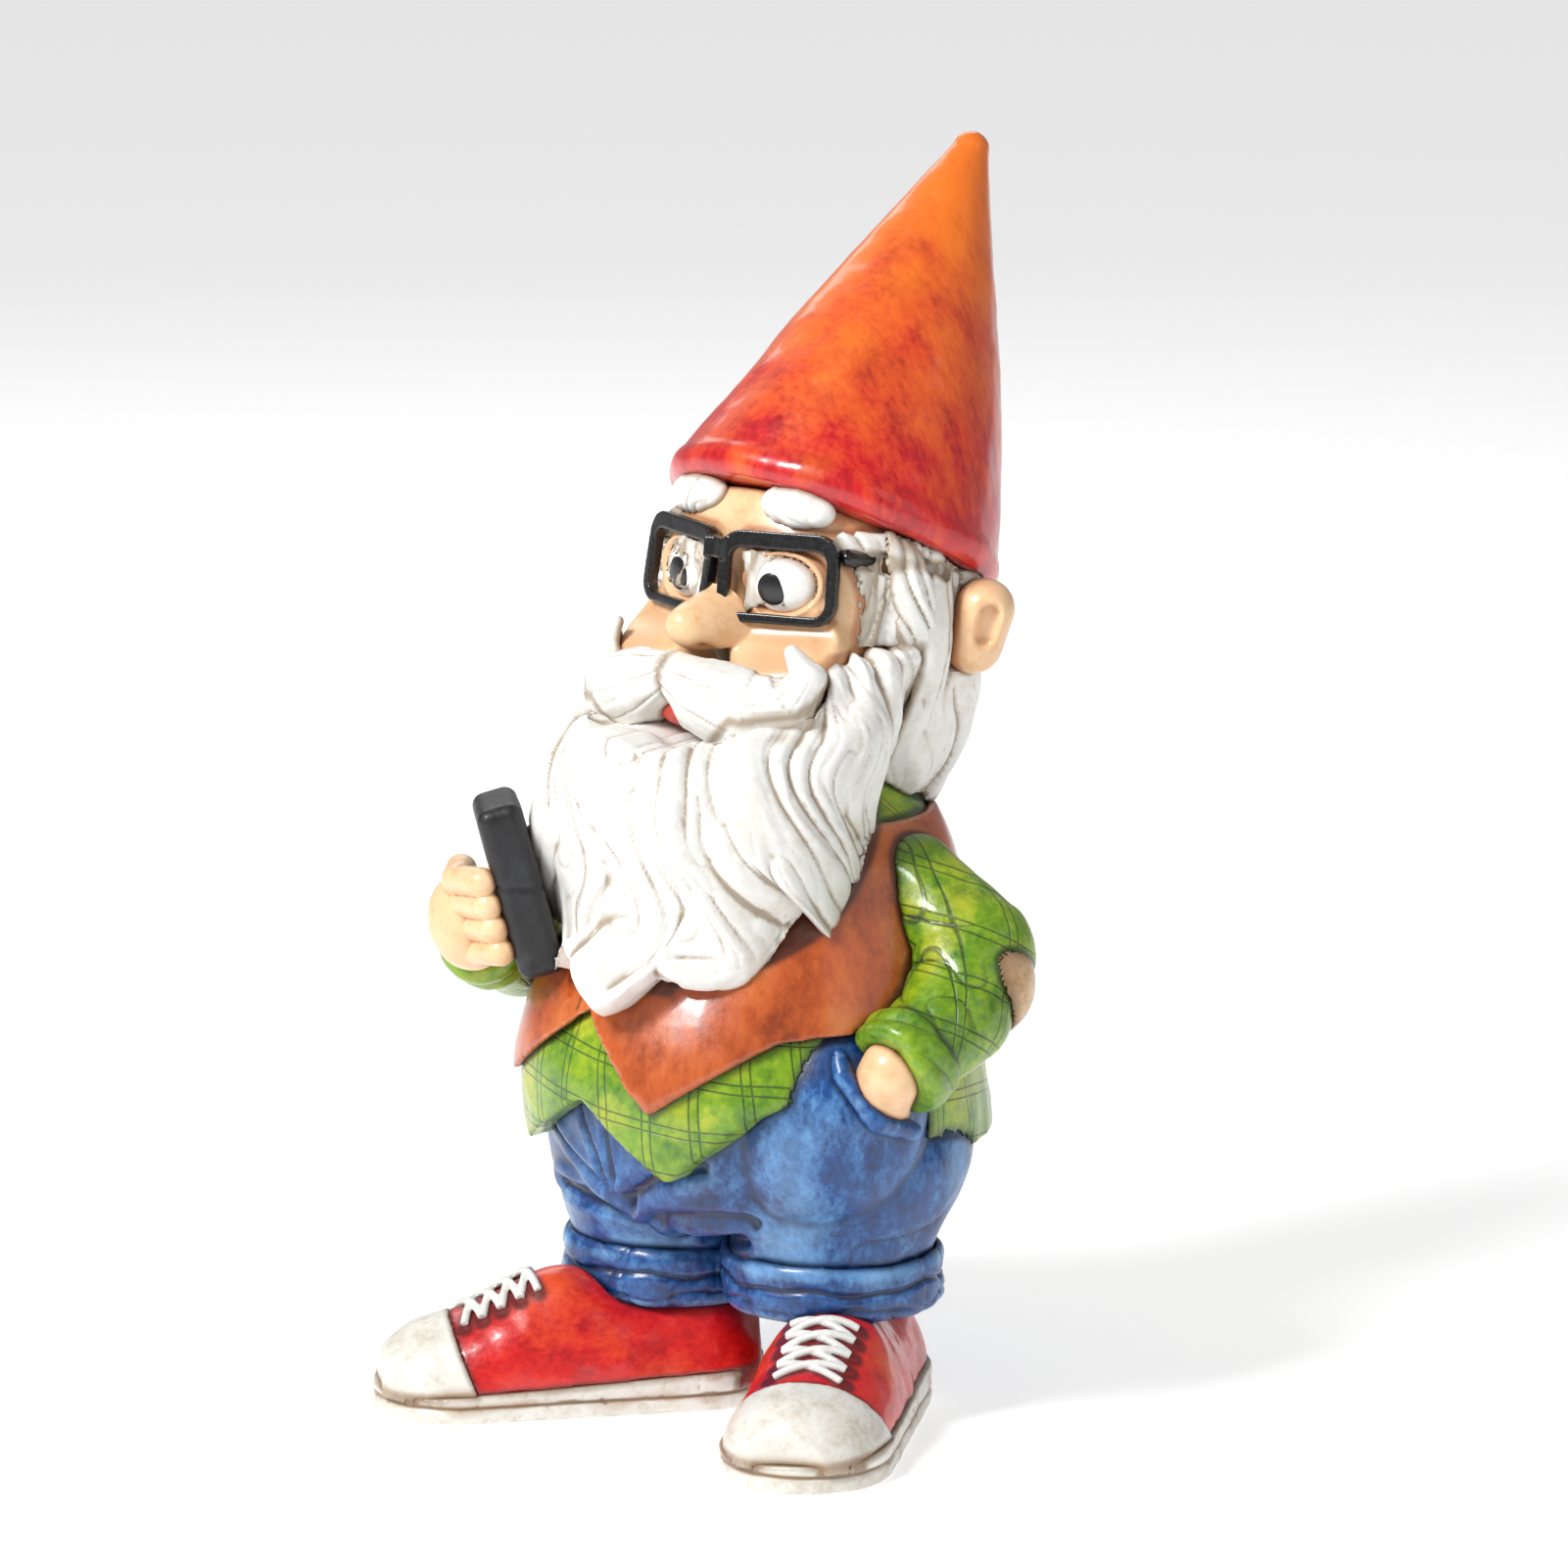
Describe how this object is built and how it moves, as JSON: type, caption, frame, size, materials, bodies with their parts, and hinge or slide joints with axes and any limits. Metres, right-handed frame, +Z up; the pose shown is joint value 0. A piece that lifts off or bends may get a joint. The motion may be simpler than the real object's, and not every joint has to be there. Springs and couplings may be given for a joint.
{
  "type": "garden gnome",
  "caption": "Standing garden gnome in painted cast resin with a tall pointed hat, full beard, glasses, plaid shirt, vest, rolled jeans and laced shoes, holding a phone.",
  "frame": {"origin": "middle of the figure's bounding box, at ground level under the soles", "axes": "+Z up, the gnome faces -Y, its left hand is on the +X side"},
  "size_m": [0.1202, 0.1284, 0.2409],
  "materials": {
    "denim_paint": "cast resin painted denim blue, dry-brushed lighter, gloss varnish",
    "hat_paint": "cast resin painted red going to orange at the tip, gloss varnish",
    "skin_paint": "cast resin painted in skin colour, satin varnish",
    "hair_paint": "cast resin painted white with a cream wash in the grooves, satin varnish",
    "vest_paint": "cast resin painted orange brown, gloss varnish",
    "shirt_paint": "cast resin painted green with dark plaid lines, gloss varnish",
    "patch_paint": "cast resin painted tan, satin varnish",
    "black_paint": "cast resin painted gloss black",
    "phone_paint": "cast resin painted charcoal with worn grey edges",
    "eye_paint": "cast resin painted glossy white",
    "lip_paint": "cast resin painted red",
    "shoe_paint": "cast resin painted red, gloss varnish",
    "rubber_paint": "cast resin painted off-white with a brown wash",
    "lace_paint": "cast resin painted white"
  },
  "bodies": {
    "root": {"beard": "hair_paint", "ear_left": "skin_paint", "ear_right": "skin_paint", "elbow_patch_left": "patch_paint", "elbow_patch_right": "patch_paint", "eye_left": "eye_paint", "eye_right": "eye_paint", "eyebrow_left": "hair_paint", "eyebrow_right": "hair_paint", "glasses_arm_left": "black_paint", "glasses_arm_right": "black_paint", "glasses_front": "black_paint", "hair": "hair_paint", "hand_left": "skin_paint", "hand_right": "skin_paint", "hat": "hat_paint", "head": "skin_paint", "jeans": "denim_paint", "laces_left": "lace_paint", "laces_right": "lace_paint", "lip": "lip_paint", "moustache_left": "hair_paint", "moustache_right": "hair_paint", "phone": "phone_paint", "pocket_welt": "denim_paint", "pupil_left": "black_paint", "pupil_right": "black_paint", "shirt": "shirt_paint", "shoe_upper_left": "shoe_paint", "shoe_upper_right": "shoe_paint", "sleeve_cuff_left": "shirt_paint", "sleeve_cuff_right": "shirt_paint", "sleeve_left": "shirt_paint", "sleeve_right": "shirt_paint", "sole_left": "rubber_paint", "sole_right": "rubber_paint", "toe_cap_left": "rubber_paint", "toe_cap_right": "rubber_paint", "turn_up_left": "denim_paint", "turn_up_right": "denim_paint", "vest": "vest_paint"}
  },
  "joints": []
}
